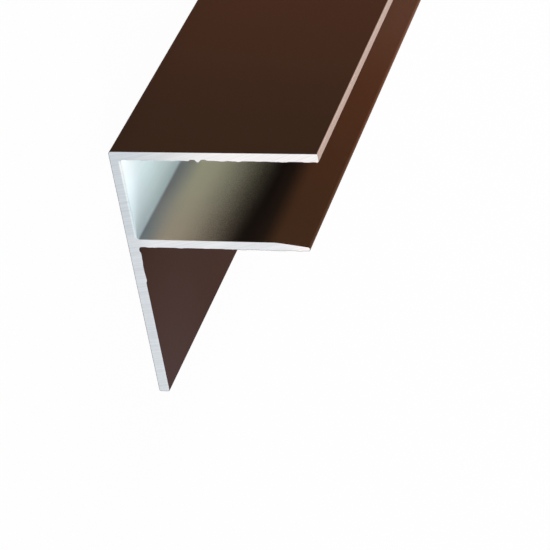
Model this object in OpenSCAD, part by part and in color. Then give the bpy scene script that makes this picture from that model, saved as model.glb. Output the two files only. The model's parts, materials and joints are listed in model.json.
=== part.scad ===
// F-shaped aluminium glazing profile, lying on its back.
// The back rests on the floor and both flanges stand up from it. A sheet's edge slides
// into the channel between the flanges, and the leaf beyond the lower flange is screwed down.
// X runs across the section, Y along the stock and Z up. The origin is under the middle of the back.

/* [Stock] */
// Length of the piece of stock
stock_length = 1000; // [100:10:6000]

/* [Section] */
// Thickness of the back, which is the web and the leaf in one
back_wall = 2; // [1.2:0.1:3]
// Thickness of the flanges
flange_wall = 1.7; // [1.2:0.1:2.6]
// Clear gap between the flanges, which takes a 16 mm sheet with room to slide
sheet_gap = 16.6; // [4.6:0.1:40.6]
// Width of the leaf, from the lower flange's outer face to its free edge
leaf_width = 32.1; // [5:0.1:80]
// Reach of the top flange, from the back's outer face to its tip
top_flange_reach = 38; // [24:0.1:60]
// Reach of the lower flange, from the back's outer face to its tip
lower_flange_reach = 33.8; // [20:0.1:60]

/* [Lead-in] */
// Length of the tapered lead-in on the channel side of the lower flange's tip
lead_in_length = 6; // [2:0.5:12]
// Thickness left at the lower flange's tip
lip_thickness = 0.8; // [0.3:0.05:1]

/* [Edges] */
// Radius of the fillets where the flanges meet the back
root_fillet = 0.5; // [0.2:0.1:1.5]
// Radius of the outside corner between the back and the top flange
corner_radius = 0.5; // [0.2:0.1:1.1]
// Radius of the arrises on the tips of the flanges and the leaf
tip_radius = 0.3; // [0.1:0.05:0.5]

/* [Hidden] */

// Segments of a full circle
$fn = 64;

// How far a cutting or filling shape runs past the faces it meets
overrun = 0.5;

// Width of the whole back
back_width = flange_wall + sheet_gap + flange_wall + leaf_width;

// Faces across the section
top_outer_x = -back_width / 2;
top_inner_x = top_outer_x + flange_wall;
lower_inner_x = top_inner_x + sheet_gap;
lower_outer_x = lower_inner_x + flange_wall;
leaf_tip_x = lower_outer_x + leaf_width;

// Where the lead-in begins, and how far it leans out of the channel for each millimetre of its length
lead_in_start = lower_flange_reach - lead_in_length;
lead_in_slope = (flange_wall - lip_thickness) / lead_in_length;

// The thin tip takes no larger an arris than half its thickness
lip_radius = min(tip_radius, lip_thickness / 2);

// The sliver between a right-angled corner at the origin and an arc that touches both of its faces
// in the quadrant towards +X and +Y. It runs past both faces on the other side of the corner.
module corner_sliver(radius) {
    difference() {
        translate([-overrun, -overrun])
            square(radius + overrun);
        translate([radius, radius])
            circle(radius);
    }
}

// Rounds a convex corner at a point, where the material lies in the quadrant that starts at an angle
module arris_cut(point, quadrant, radius) {
    translate(point)
        rotate(quadrant)
            corner_sliver(radius);
}

// Fills a concave corner at a point, where the open space lies in the quadrant that starts at an angle
module root_fill(point, quadrant) {
    translate(point)
        rotate(quadrant)
            corner_sliver(root_fillet);
}

// The back: the web behind the channel and the leaf beyond the lower flange, in one flat strip
module back_section() {
    translate([top_outer_x, 0])
        square([back_width, back_wall]);
}

module top_flange_section() {
    translate([top_outer_x, 0])
        square([flange_wall, top_flange_reach]);
}

// What the lead-in takes off, on the channel side of the lower flange's tip
module lead_in_cut() {
    polygon([
        [lower_inner_x - overrun * lead_in_slope, lead_in_start - overrun],
        [lower_inner_x + (lead_in_length + overrun) * lead_in_slope, lower_flange_reach + overrun],
        [lower_inner_x - overrun, lower_flange_reach + overrun]
    ]);
}

// The lower flange thins towards its tip, so that a sheet finds its way in
module lower_flange_section() {
    difference() {
        translate([lower_inner_x, 0])
            square([flange_wall, lower_flange_reach]);
        lead_in_cut();
        arris_cut([lower_outer_x, lower_flange_reach], 180, lip_radius);
    }
}

module profile_section() {
    difference() {
        union() {
            back_section();
            top_flange_section();
            lower_flange_section();
            root_fill([top_inner_x, back_wall], 0);
            root_fill([lower_inner_x, back_wall], 90);
            root_fill([lower_outer_x, back_wall], 0);
        }
        arris_cut([top_outer_x, 0], 0, corner_radius);
        arris_cut([top_outer_x, top_flange_reach], 270, tip_radius);
        arris_cut([top_inner_x, top_flange_reach], 180, tip_radius);
        arris_cut([leaf_tip_x, 0], 90, tip_radius);
        arris_cut([leaf_tip_x, back_wall], 180, tip_radius);
    }
}

module f_profile() {
    color([0.25, 0.16, 0.12])
        rotate([90, 0, 0])
            linear_extrude(height = stock_length, center = true)
                profile_section();
}

f_profile();
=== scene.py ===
import json
import math

import bmesh
import bpy
from mathutils import Matrix, Vector, noise


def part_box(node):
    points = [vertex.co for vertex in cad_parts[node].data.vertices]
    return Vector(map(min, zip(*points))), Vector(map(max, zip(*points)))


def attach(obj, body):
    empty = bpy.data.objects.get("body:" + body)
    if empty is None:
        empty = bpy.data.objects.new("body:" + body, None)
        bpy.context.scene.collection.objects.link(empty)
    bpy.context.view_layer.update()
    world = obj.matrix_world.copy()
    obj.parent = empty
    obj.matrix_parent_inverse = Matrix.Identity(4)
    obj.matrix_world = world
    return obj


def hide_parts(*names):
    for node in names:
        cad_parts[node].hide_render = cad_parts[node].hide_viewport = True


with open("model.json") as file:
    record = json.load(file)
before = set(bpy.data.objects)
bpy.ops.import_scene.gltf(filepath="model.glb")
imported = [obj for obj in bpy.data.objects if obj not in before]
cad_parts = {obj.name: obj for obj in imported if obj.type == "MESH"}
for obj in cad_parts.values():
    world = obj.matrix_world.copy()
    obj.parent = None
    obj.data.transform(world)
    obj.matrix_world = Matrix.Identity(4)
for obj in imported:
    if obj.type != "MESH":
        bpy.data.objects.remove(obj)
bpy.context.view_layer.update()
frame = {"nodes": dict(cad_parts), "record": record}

# An F-section aluminium glazing profile, lying on its back with its sawn end towards the camera.
# Brown satin coat outside, bare metal deep in the channel and on the sawn ends. Lengths are in metres.

# Sizes of the section, read from the frame where it holds them
mount_place = {mount["name"]: Vector(mount["pos_m"]) for mount in frame["record"]["mounts"]}
section_low, section_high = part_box("f_profile")
section_corners = [corner.co for corner in frame["nodes"]["f_profile"].data.vertices]
near_end = section_low.y
far_end = section_high.y
back_wall = mount_place["leaf_face"].z
top_reach = section_high.z
lower_reach = max(corner.z for corner in section_corners if corner.x > mount_place["sheet_channel"].x)
top_outer = section_low.x
top_inner = max(corner.x for corner in section_corners if corner.z > lower_reach)
flange_wall = top_inner - top_outer
lower_outer = mount_place["lower_flange_seat"].x
lower_inner = lower_outer - flange_wall
leaf_tip = section_high.x

# Sizes that the frame doesn't hold, as the part's source has them
lead_in_length = 0.006
lip_thickness = 0.0008
root_fillet = 0.0005
corner_radius = 0.0005
tip_radius = 0.0003

# How far the start of the lead-in is eased, the steps in a rounded corner, the thickness of the coat,
# and the angles up to which faces count as flat and are shaded as one
lead_in_ease = 0.0006
round_segments = 5
coat_thickness = 0.00006
flat_angle = 0.001
smooth_angle = math.radians(35)

# The burr that the saw left where its teeth came out of the metal: how deep its rim is worked,
# how far it sticks out at each step, how many places along an edge can take it, how wide its
# patches are, how much finer and weaker the teeth in a patch are, the levels of raggedness
# at which it takes another step, and how far it goes along the leaf
burr_depth = 0.0005
burr_step = 0.00004
burr_places = 90
burr_patch = 0.0022
tooth_finer = 4.3
tooth_share = 0.4
top_burr_levels = (-0.05, 0.12, 0.25, 0.35)
lower_burr_levels = (0.1, 0.3)
leaf_burr_levels = (-1.5, -0.6, -0.3, -0.05, 0.2)
leaf_burr_length = 0.0075

# Where the near end's burr is broken out of the top flange or stands proud of it:
# height above the floor, half the height of the spot, and how far out of the face it goes
torn_spots = ((0.0153, 0.0007, -0.0003), (0.0163, 0.0004, 0.0002), (0.0173, 0.0005, -0.00018))

# Two places count as one within this distance
SAME_PLACE = 1e-6


def near(a, b):
    return abs(a - b) < SAME_PLACE


def pick(kind, test):
    """Selects, in edit mode, only the vertices, edges or faces whose middle passes a test."""
    bpy.ops.mesh.select_mode(type=kind)
    bpy.ops.mesh.select_all(action="DESELECT")
    shape = bmesh.from_edit_mesh(bpy.context.object.data)
    found = {"VERT": shape.verts, "EDGE": shape.edges, "FACE": shape.faces}[kind]
    for item in found:
        if kind == "VERT":
            middle = item.co
        elif kind == "EDGE":
            middle = (item.verts[0].co + item.verts[1].co) / 2
        else:
            middle = item.calc_center_median()
        if test(middle):
            item.select = True
    shape.select_flush_mode()
    bmesh.update_edit_mesh(bpy.context.object.data)


def pick_edge(x, z):
    """Selects the section's edge whose middle lies at a place."""
    pick("EDGE", lambda middle: near(middle.x, x) and near(middle.z, z))


def pull(x=0.0, z=0.0):
    """Extrudes the selected edge across the section and leaves the new edge selected."""
    bpy.ops.mesh.extrude_region_move(TRANSFORM_OT_translate={"value": (x, 0.0, z)})


def round_corner(x, z, radius):
    """Rounds one corner of the section."""
    pick("VERT", lambda place: near(place.x, x) and near(place.z, z))
    bpy.ops.mesh.bevel(
        affect="VERTICES", offset_type="ABSOLUTE", offset=radius, segments=round_segments, profile=0.5
    )


def pull_lead_in():
    """Pulls the lower flange's tip up and thins it there on the channel side."""
    pull(z=lead_in_length)
    bpy.ops.transform.resize(
        value=(lip_thickness / flange_wall, 1.0, 1.0),
        center_override=(lower_outer, near_end, lower_reach),
    )


def on_burr(place, edge, end):
    """Whether a place lies on the rim of a cut, on the face at this edge that the saw came out of."""
    past_root = place.z > back_wall + 2 * root_fillet
    on_face = -burr_step < place.x - edge < flange_wall / 2
    return near(place.y, end) and on_face and past_root


def on_leaf_burr(place, end):
    """Whether a place lies on the rim of a cut, on the leaf's inner face next to the lower flange."""
    in_reach = 2 * root_fillet < place.x - lower_outer < leaf_burr_length
    on_face = -burr_step < place.z - back_wall < flange_wall / 2
    return near(place.y, end) and on_face and in_reach


def raggedness(x, end, z):
    """How ragged the saw left a place on a rim, between -1.4 and 1.4."""
    along = Vector((x, end, z)) / burr_patch
    return noise.noise(along) + tooth_share * noise.noise(along * tooth_finer)


def pull_burr(edge, end, levels):
    """Pulls the rim out of the face by one more step at every level of raggedness."""
    for level in levels:
        pick(
            "VERT",
            lambda place: on_burr(place, edge, end) and raggedness(edge, end, place.z) > level,
        )
        bpy.ops.transform.translate(value=(burr_step, 0.0, 0.0))


def pull_leaf_burr(end):
    """Pulls the rim out of the leaf's inner face, next to the lower flange."""
    for level in leaf_burr_levels:
        pick(
            "VERT",
            lambda place: on_leaf_burr(place, end) and raggedness(place.x, end, back_wall) > level,
        )
        bpy.ops.transform.translate(value=(0.0, 0.0, burr_step))


def saw_off(end, inward, torn):
    """Roughs up one end: a thin ragged burr on three edges, and the coat's thickness round the cut."""
    bpy.ops.mesh.select_all(action="SELECT")
    bpy.ops.mesh.bisect(plane_co=(0.0, end + inward, 0.0), plane_no=(0.0, 1.0, 0.0))
    pull_burr(top_inner, end, top_burr_levels)
    pull_burr(lower_outer, end, lower_burr_levels)
    pull_leaf_burr(end)
    for height, reach, out in torn:
        pick(
            "VERT",
            lambda place: on_burr(place, top_inner, end) and abs(place.z - height) < reach,
        )
        bpy.ops.transform.translate(value=(out, 0.0, 0.0))
    pick("FACE", lambda middle: near(middle.y, end))
    bpy.ops.mesh.inset(thickness=coat_thickness, depth=0.0)


def make_profile():
    """The whole length of stock: its section drawn out of one square, rounded, then extruded."""
    bpy.ops.object.select_all(action="DESELECT")
    bpy.ops.mesh.primitive_plane_add(
        size=flange_wall,
        location=((top_outer + top_inner) / 2, near_end, flange_wall / 2),
        rotation=(math.pi / 2, 0.0, 0.0),
    )
    profile = bpy.context.object
    profile.name = "profile"
    profile.data.name = "profile"
    bpy.ops.object.transform_apply(location=True, rotation=True, scale=True)
    bpy.ops.object.mode_set(mode="EDIT")

    # The corner, as thick as the back, then top flange, web, root of the lower flange and leaf
    pick_edge((top_outer + top_inner) / 2, flange_wall)
    bpy.ops.transform.translate(value=(0.0, 0.0, back_wall - flange_wall))
    pull(z=top_reach - back_wall)
    pick_edge(top_inner, back_wall / 2)
    pull(x=lower_inner - top_inner)
    pull(x=lower_outer - lower_inner)
    pull(x=leaf_tip - lower_outer)

    # Lower flange with its lead-in
    pick_edge((lower_inner + lower_outer) / 2, back_wall)
    pull(z=lower_reach - lead_in_length - back_wall)
    pull_lead_in()

    # One face, with its corners rounded
    bpy.ops.mesh.select_all(action="SELECT")
    bpy.ops.mesh.dissolve_limited(angle_limit=flat_angle)
    for x in (top_inner, lower_inner, lower_outer):
        round_corner(x, back_wall, root_fillet)
    round_corner(top_outer, 0.0, corner_radius)
    for x, z in ((top_outer, top_reach), (top_inner, top_reach), (leaf_tip, 0.0), (leaf_tip, back_wall)):
        round_corner(x, z, tip_radius)
    for x in (lower_outer, lower_outer - lip_thickness):
        round_corner(x, lower_reach, tip_radius)
    round_corner(lower_inner, lower_reach - lead_in_length, lead_in_ease)

    # Places for the burr, on the faces where the saw's teeth came out
    for x in (top_inner, lower_outer):
        pick("EDGE", lambda middle: near(middle.x, x))
        bpy.ops.mesh.subdivide(number_cuts=burr_places)
    pick("EDGE", lambda middle: near(middle.z, back_wall) and middle.x > lower_outer)
    bpy.ops.mesh.subdivide(number_cuts=burr_places)

    # The stock's length
    bpy.ops.mesh.select_all(action="SELECT")
    bpy.ops.mesh.extrude_region_move(
        TRANSFORM_OT_translate={"value": (0.0, far_end - near_end, 0.0)}
    )
    bpy.ops.mesh.select_all(action="SELECT")
    bpy.ops.mesh.normals_make_consistent(inside=False)
    saw_off(near_end, burr_depth, torn_spots)
    saw_off(far_end, -burr_depth, ())
    bpy.ops.object.mode_set(mode="OBJECT")

    bpy.ops.object.shade_smooth_by_angle(angle=smooth_angle)
    bpy.ops.object.modifier_add(type="WEIGHTED_NORMAL")
    profile.modifiers[-1].keep_sharp = True
    bpy.ops.object.modifier_apply(modifier=profile.modifiers[-1].name)
    return profile


class Wire:
    """A node's output. Its operators add Math nodes, and add() adds any other node."""

    def __init__(self, socket):
        self.socket = socket

    def add(self, kind, settings=None, inputs=None, output=0):
        """Adds a node: its type, its settings, then what goes into its sockets. Returns one output."""
        tree = self.socket.id_data
        node = tree.nodes.new(kind)
        for name, value in (settings or {}).items():
            setattr(node, name, value)
        for name, value in (inputs or {}).items():
            if isinstance(value, Wire):
                tree.links.new(value.socket, node.inputs[name])
            else:
                node.inputs[name].default_value = value
        return Wire(node.outputs[output])

    def math(self, operation, *values):
        places = dict(enumerate((self,) + values))
        return self.add("ShaderNodeMath", {"operation": operation}, places)

    def __add__(self, other):
        return self.math("ADD", other)

    __radd__ = __add__

    def __sub__(self, other):
        return self.math("SUBTRACT", other)

    def __rsub__(self, other):
        return self.math("MULTIPLY_ADD", -1.0, other)

    def __mul__(self, other):
        return self.math("MULTIPLY", other)

    __rmul__ = __mul__

    def absolute(self):
        return self.math("ABSOLUTE")

    def ramp(self, start, end, low=0.0, high=1.0):
        """Eases from low to high as this value goes from start to end."""
        return self.add(
            "ShaderNodeMapRange",
            {"interpolation_type": "SMOOTHSTEP"},
            {"Value": self, "From Min": start, "From Max": end, "To Min": low, "To Max": high},
        )

    def mix(self, first, second):
        """Mixes two colours by this value."""
        return self.add(
            "ShaderNodeMix",
            {"data_type": "RGBA"},
            {"Factor": self, 6: first, 7: second},
            output=2,
        )

    def noise(self, scale, detail=2.0, roughness=0.5, stretch=(1.0, 1.0, 1.0)):
        """Noise over this place, in features a scale wide, drawn out by stretch."""
        squeezed = self.add(
            "ShaderNodeMapping",
            {"vector_type": "POINT"},
            {"Vector": self, "Scale": tuple(1.0 / (scale * part) for part in stretch)},
        )
        return self.add(
            "ShaderNodeTexNoise",
            {"noise_dimensions": "3D"},
            {"Vector": squeezed, "Scale": 1.0, "Detail": detail, "Roughness": roughness},
        )

    def bump(self, height, strength):
        """A normal from this value, which stands for a height in metres where it is 1."""
        return self.add("ShaderNodeBump", {}, {"Height": self, "Distance": height, "Strength": strength})


def new_material(name, viewport):
    """An empty material. Returns it, its Principled shader and its Object coordinates."""
    material = bpy.data.materials.new(name)
    material.use_nodes = True
    material.diffuse_color = viewport
    tree = material.node_tree
    shader = tree.nodes["Principled BSDF"]
    place = Wire(tree.nodes.new("ShaderNodeTexCoord").outputs["Object"])
    return material, shader, place


def feed(shader, **values):
    """Links or sets the shader's sockets, whose names are given with underscores."""
    for name, value in values.items():
        socket = shader.inputs[name.replace("_", " ")]
        if isinstance(value, Wire):
            shader.id_data.links.new(value.socket, socket)
        else:
            socket.default_value = value


def axes_of(place):
    """The three coordinates of a place."""
    split = place.add("ShaderNodeSeparateXYZ", {}, {"Vector": place})
    outputs = split.socket.node.outputs
    return Wire(outputs["X"]), Wire(outputs["Y"]), Wire(outputs["Z"])


# Colours, linear
BROWN = (0.046, 0.0188, 0.01, 1.0)
BROWN_DARK = (0.0405, 0.0166, 0.009, 1.0)
# The next colour is painted shadow deep in the channel under the top flange, and the two after it are
# painted light on the lower flange's lip, brighter further in
BROWN_IN_SHADOW = (0.0285, 0.0148, 0.0104, 1.0)
BROWN_LIT_LIP = (0.067, 0.0272, 0.0139, 1.0)
BROWN_LIT_LIP_FAR = (0.0858, 0.0408, 0.0259, 1.0)
BROWN_ON_LEAF = (0.0395, 0.0158, 0.0105, 1.0)
# The next colour is a painted sheen on the leaf's free edge near an open end
BROWN_LEAF_SHEEN = (0.051, 0.0266, 0.024, 1.0)
BARE = (0.69, 0.825, 0.85, 1.0)
BARE_DARK = (0.615, 0.745, 0.77, 1.0)
# The next two are the web near an open end, with painted glare that is brightest under the top flange
BARE_GLARE_UNDER_TOP = (0.78, 0.815, 0.83, 1.0)
BARE_GLARE_OVER_LOWER = (0.645, 0.757, 0.805, 1.0)
MISTED = (0.82, 0.69, 0.477, 1.0)
# The next colour is the mist with painted shade at an open end; the two after it are painted shade in
# the corner at the lower flange's root, darker at an open end
MISTED_SHADED_AT_END = (0.64, 0.508, 0.373, 1.0)
ROOT_SHADE = (0.425, 0.385, 0.375, 1.0)
ROOT_SHADE_AT_END = (0.335, 0.36, 0.375, 1.0)
WORN_EDGE = (0.327, 0.234, 0.198, 1.0)
# Sawn faces, with painted light that is brighter towards the flanges' tips and the lip
SAWN_BACK = (0.64, 0.69, 0.73, 1.0)
SAWN_LEAF = (0.69, 0.725, 0.765, 1.0)
SAWN_LOWER = (0.8, 0.815, 0.84, 1.0)
SAWN_TIP = (0.935, 0.905, 0.905, 1.0)
SAWN_LIP = (0.97, 0.93, 0.935, 1.0)
# The next two are a painted highlight on the rim along the web's cut, brightest under the top flange
RIM_UNDER_TOP = (0.965, 0.98, 0.98, 1.0)
RIM_OVER_LOWER = (0.755, 0.855, 0.885, 1.0)

# What the coat's colour is multiplied by at a sawn end, where painted shade darkens it, and further in,
# where painted light brightens it
SHADE_AT_END = (0.87, 0.955, 0.9, 1.0)
LIGHT_FURTHER_IN = (1.33, 1.18, 1.08, 1.0)

# Heights above the floor at which the channel's faces pick up a mist of coat, above a painted shade in
# the corner, and a full coat
mist_from = 0.0024
mist_full = 0.0076
coat_from = 0.008
coat_full = 0.022

# The coat gets a little deeper into the channel at the open ends than it does further in
shelter_depth = 0.028
open_end_rise = 0.0002
shelter_drop = 0.001

# How far in from an open end the bare web carries painted glare and the corner darker painted shade, and
# how far in the coat's painted shade gives way to painted light
near_end_reach = 0.014
shade_depth = 0.058

# Painted light: the web is brightest under the top flange, and evens out this far across it
glare_end = top_inner + 0.65 * (lower_inner - top_inner)

# Where the channel's mouth begins: below it the coat carries a painted shadow of the top flange, above
# it painted light on the lower flange's lip
shadow_edge_from = 0.0243
shadow_edge_full = 0.0283

# How far in from an open end the painted light on the lip gets brighter, and where it is brightest
light_from = 0.048
light_full = 0.086

# How far in from an open end the leaf's free edge is paler, with a painted sheen
sheen_depth = 0.035

# Widths of what the noises draw: the coat's wandering edge, its loose powder, its blotches,
# the lines that the die left in the metal, and the coat's peel and grain
drift_size = 0.004
powder_size = 0.00022
blotch_size = 0.03
die_line_size = 0.0006
peel_size = 0.0012
grain_size = 0.0002

# How far the coat's edge wanders up and down, and how high the peel stands
drift_height = 0.0016
peel_height = 0.00002

# How deep a face's own finish goes, and how far down the top flange's long edge is worn
skin = 0.0001
worn_width = 0.00028


def make_brown_coat():
    """Satin brown coat, which thins out deep in the channel and on the top flange's long edge."""
    material, shader, place = new_material("brown_coat", BROWN)
    x, y, z = axes_of(place)

    # How much coat there is: none on the web, then more and more towards the channel's mouth
    drift = place.noise(drift_size, detail=3.0, stretch=(1.0, 6.0, 1.0)) - 0.5
    past_top = x.ramp(top_inner - 2 * skin, top_inner - skin)
    before_outside = x.ramp(lower_outer - 2 * skin, lower_outer - 3 * skin)
    inside = past_top * before_outside * z.ramp(back_wall * 0.5, back_wall * 0.8)
    depth = y.absolute() * -1 + far_end
    shelter = depth.ramp(0.0, shelter_depth, -open_end_rise, shelter_drop)
    level = z + drift * drift_height
    fading = 1 - (level - shelter).ramp(coat_from, coat_full)
    powder = (place.noise(powder_size, detail=2.0) - 0.5) * fading * (1 - fading)
    bare = inside * (fading + powder * 2.4).math("MINIMUM", 1.0).math("MAXIMUM", 0.0)
    mist = level.ramp(mist_from, mist_full)
    past_web = z.ramp(back_wall, back_wall + root_fillet)
    on_lower = past_web * x.ramp(lower_inner - 6 * skin, lower_inner - 2 * skin)
    mouth = z.ramp(shadow_edge_from, shadow_edge_full)
    edge = z.ramp(top_reach - worn_width, top_reach - skin)

    # The coat's brown, which changes along the stock, in the channel's mouth and on the leaf: painted
    # shade near an open end and painted light further in, a painted shadow deep in the channel and
    # painted light on the lip, and a painted sheen on the leaf's free edge
    blotch = place.noise(blotch_size, detail=3.0, stretch=(1.0, 3.0, 1.0))
    # Painted light on the lip, brighter further in, over a painted shadow deeper in the channel
    lit_lip = depth.ramp(light_from, light_full).mix(BROWN_LIT_LIP, BROWN_LIT_LIP_FAR)
    plain = inside.mix(blotch.mix(BROWN_DARK, BROWN), mouth.mix(BROWN_IN_SHADOW, lit_lip))
    # Painted light along the stock: the coat darker near an open end and lighter further in
    light_along = depth.ramp(0.0, shade_depth).mix(SHADE_AT_END, LIGHT_FURTHER_IN)
    brown_in_light = place.add("ShaderNodeVectorMath", {"operation": "MULTIPLY"}, {0: plain, 1: light_along})
    # Painted sheen on the leaf's free edge near an open end
    leaf_sheen = x.ramp(lower_outer, leaf_tip) * (1 - depth.ramp(0.0, sheen_depth))
    on_leaf = x.ramp(lower_outer, lower_outer + root_fillet)
    brown = on_leaf.mix(brown_in_light, leaf_sheen.mix(BROWN_ON_LEAF, BROWN_LEAF_SHEEN))

    # The metal under it: the web with its die lines and, near an open end, painted glare; the lower
    # flange with its mist of coat, darker at an open end with painted shade, over a painted shade in the
    # corner at its root
    die_lines = place.noise(die_line_size, detail=2.0, stretch=(1.0, 400.0, 1.0))
    web_glare = x.ramp(top_inner, glare_end).mix(BARE_GLARE_UNDER_TOP, BARE_GLARE_OVER_LOWER)
    web = depth.ramp(0.0, near_end_reach).mix(web_glare, die_lines.mix(BARE_DARK, BARE))
    # Painted shade: the mist darker at an open end, and the corner at the lower flange's root, darker
    # still at an open end
    misted = depth.ramp(0.0, shelter_depth).mix(MISTED_SHADED_AT_END, MISTED)
    root = depth.ramp(0.0, near_end_reach).mix(ROOT_SHADE_AT_END, ROOT_SHADE)
    metal = on_lower.mix(web, mist.mix(root, misted))
    colour = edge.mix(bare.mix(brown, metal), WORN_EDGE)

    peel = place.noise(peel_size, detail=2.0)
    grain = place.noise(grain_size, detail=1.0)
    rough = bare.add("ShaderNodeMix", {"data_type": "FLOAT"}, {"Factor": bare, 2: 0.40, 3: 0.70})
    feed(
        shader,
        Base_Color=colour,
        Metallic=(bare * 0.15).math("MAXIMUM", edge * 0.4),
        Roughness=rough + (peel - 0.5) * 0.06,
        Specular_IOR_Level=0.006,
        Normal=(peel + grain * 0.2).bump(peel_height, 0.6),
    )
    return material


# Width of the bright rim along the inner edge of the web's cut, a painted highlight. It is colour alone,
# and it makes the cut look narrower than the solid's web, as a thinner web would.
rim_width = 0.00055

# Middle of the blade that sawed the stock, off the section's corner
blade_middle = Vector((top_outer - 0.15, 0.0, -0.03))

# Widths of the blade's fine and broad marks, and how high they stand
fine_mark = 0.00012
broad_mark = 0.0007
mark_height = 0.000012


def make_sawn_end():
    """Bare aluminium with the fine marks of the saw."""
    material, shader, place = new_material("sawn_end", SAWN_LOWER)
    x, y, z = axes_of(place)

    # Arcs about the blade's middle, some deeper than others
    across = place.add("ShaderNodeCombineXYZ", {}, {"X": x, "Z": z})
    reach = place.add(
        "ShaderNodeVectorMath", {"operation": "DISTANCE"}, {0: across, 1: blade_middle}, output="Value"
    )
    arc = place.add("ShaderNodeCombineXYZ", {}, {"X": reach, "Y": y, "Z": z})
    fine = arc.noise(fine_mark, detail=2.0, stretch=(1.0, 1.0, 60.0))
    broad = arc.noise(broad_mark, detail=1.0, stretch=(1.0, 1.0, 30.0))
    marks = fine * 0.7 + broad * 0.3

    # Painted light: brighter towards the flanges' tips, and a painted highlight, brightest, on the rim
    # along the web
    lower = z.ramp(back_wall * 0.5, back_wall * 2.5).mix(SAWN_LEAF, SAWN_LOWER)
    top = z.ramp(back_wall * 0.5, top_reach * 0.6).mix(SAWN_BACK, SAWN_TIP)
    lip = z.ramp(lower_reach - lead_in_length, lower_reach - lip_thickness).mix(lower, SAWN_LIP)
    face = x.ramp(lower_inner - flange_wall, lower_inner).mix(top, lip)
    along_web = x.ramp(top_inner, top_inner + rim_width) * x.ramp(lower_inner, lower_inner - rim_width)
    rim = along_web * z.ramp(back_wall - rim_width, back_wall - rim_width * 0.6)
    # Painted highlight on the rim, brightest under the top flange
    bright = x.ramp(top_inner, glare_end).mix(RIM_UNDER_TOP, RIM_OVER_LOWER)
    metal = rim.mix(face, bright)
    shade = marks.ramp(0.3, 0.7, 0.90, 1.04)
    colour = place.add("ShaderNodeVectorMath", {"operation": "SCALE"}, {0: metal, "Scale": shade})
    feed(
        shader,
        Base_Color=colour,
        Metallic=0.9,
        Roughness=marks.ramp(0.3, 0.7, 0.50, 0.40),
        Normal=marks.bump(mark_height, 0.5),
    )
    return material


def dress_profile(profile):
    """Coat all over, with bare sawn faces at both ends.

    A sawn face has many sides, and the thin rim of coat round it is made of four-sided faces.
    """
    profile.data.materials.append(make_brown_coat())
    profile.data.materials.append(make_sawn_end())
    for face in profile.data.polygons:
        face.material_index = 1 if abs(face.normal.y) > 0.9 and len(face.vertices) > 4 else 0


# Stage: floor, light and camera

WHITE = (1.0, 1.0, 1.0, 1.0)
FLOOR_GREY = (0.45, 0.45, 0.45, 1.0)
FLOOR_SIZE = 12.0
FLOOR_GLOW = 0.97
AMBIENT = 0.25


def seen_directly(tree):
    """1 for rays from the camera, and for those that a mirror or glass sends on."""
    path = tree.nodes.new("ShaderNodeLightPath")
    camera = Wire(path.outputs["Is Camera Ray"])
    glossy = Wire(path.outputs["Is Glossy Ray"])
    through = Wire(path.outputs["Is Transmission Ray"])
    return camera.math("MAXIMUM", glossy).math("MAXIMUM", through)


def make_floor():
    """A floor that is white where it is seen, with a faint shadow, and grey to everything else."""
    bpy.ops.object.select_all(action="DESELECT")
    bpy.ops.mesh.primitive_plane_add(size=FLOOR_SIZE, location=(0.0, 0.0, section_low.z))
    floor = bpy.context.object
    floor.name = "floor"
    material = bpy.data.materials.new("floor_white")
    material.use_nodes = True
    tree = material.node_tree
    tree.nodes.clear()
    out = tree.nodes.new("ShaderNodeOutputMaterial")
    seen = seen_directly(tree)
    matt = seen.add("ShaderNodeBsdfDiffuse", {}, {"Color": FLOOR_GREY})
    white = seen.add("ShaderNodeEmission", {}, {"Color": WHITE, "Strength": 1.0})
    mixed = seen.add("ShaderNodeMixShader", {}, {0: seen * FLOOR_GLOW, 1: matt, 2: white})
    tree.links.new(mixed.socket, out.inputs["Surface"])
    floor.data.materials.append(material)


def make_world():
    """White where it is seen, and a soft even light on everything else."""
    world = bpy.data.worlds.new("studio")
    world.use_nodes = True
    bpy.context.scene.world = world
    tree = world.node_tree
    tree.nodes.clear()
    out = tree.nodes.new("ShaderNodeOutputWorld")
    seen = seen_directly(tree)
    strength = AMBIENT + seen * (1.0 - AMBIENT)
    sky = seen.add("ShaderNodeBackground", {}, {"Color": WHITE, "Strength": strength})
    tree.links.new(sky.socket, out.inputs["Surface"])


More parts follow.
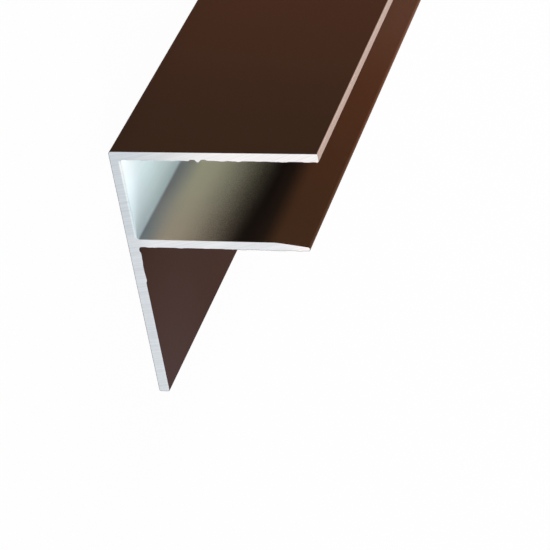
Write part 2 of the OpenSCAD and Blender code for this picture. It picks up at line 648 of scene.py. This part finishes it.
def make_softbox(name, direction, distance, size, power, aim):
    """A rectangular lamp that faces a point from a direction."""
    lamp = bpy.data.lights.new(name, "AREA")
    lamp.shape = "RECTANGLE"
    lamp.size, lamp.size_y = size
    lamp.energy = power
    holder = bpy.data.objects.new(name, lamp)
    bpy.context.scene.collection.objects.link(holder)
    towards = Vector(direction).normalized()
    holder.location = Vector(aim) + towards * distance
    holder.rotation_mode = "QUATERNION"
    holder.rotation_quaternion = towards.to_track_quat("Z", "Y")


# How far along the stock from its near end the lamps over it are
lamps_along = 0.75


def make_lights():
    """Two lamps along the stock, one beside and one above the channel's mouth, and one by the cut."""
    over_mouth = ((top_inner + lower_inner) / 2, near_end + lamps_along, top_reach)
    at_cut = (lower_inner, near_end, back_wall)
    make_softbox("mouth_strip", (-0.8, 0.0, 0.6), 1.1, (1.3, 0.18), 14.4, over_mouth)
    make_softbox("leaf_box", (0.075, 0.0, 1.0), 1.1, (1.4, 0.55), 17.0, over_mouth)
    make_softbox("front_fill", (0.85, -0.35, 0.4), 1.4, (0.7, 0.7), 14.0, at_cut)


# The photograph's camera: its place from the near outer corner of the top flange and the back,
# the two axes of its picture, and its focal length in pixels of a picture this wide
CAMERA_FROM_CORNER = Vector((-0.220406, -0.350220, 0.159542))
PICTURE_RIGHT = Vector((0.14852, 0.25841, 0.95455))
PICTURE_UP = Vector((-0.82297, 0.56750, -0.02559))
PICTURE_WIDTH = 550
FOCAL_PIXELS = 2544.1
SENSOR_WIDTH = 36.0


def make_camera():
    """A camera where the photograph was taken from."""
    lens = bpy.data.cameras.new("camera")
    lens.sensor_width = SENSOR_WIDTH
    lens.lens = FOCAL_PIXELS * SENSOR_WIDTH / PICTURE_WIDTH
    lens.clip_start = 0.01
    camera = bpy.data.objects.new("camera", lens)
    bpy.context.scene.collection.objects.link(camera)
    back = PICTURE_RIGHT.cross(PICTURE_UP)
    turn = Matrix((PICTURE_RIGHT, PICTURE_UP, back)).transposed()
    corner = Vector((top_outer, near_end, section_low.z))
    camera.matrix_world = Matrix.Translation(corner + CAMERA_FROM_CORNER) @ turn.to_4x4()
    bpy.context.scene.camera = camera


profile = make_profile()
dress_profile(profile)
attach(profile, "root")
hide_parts("f_profile")

make_floor()
make_world()
make_lights()
make_camera()
bpy.context.scene.view_settings.view_transform = "Standard"
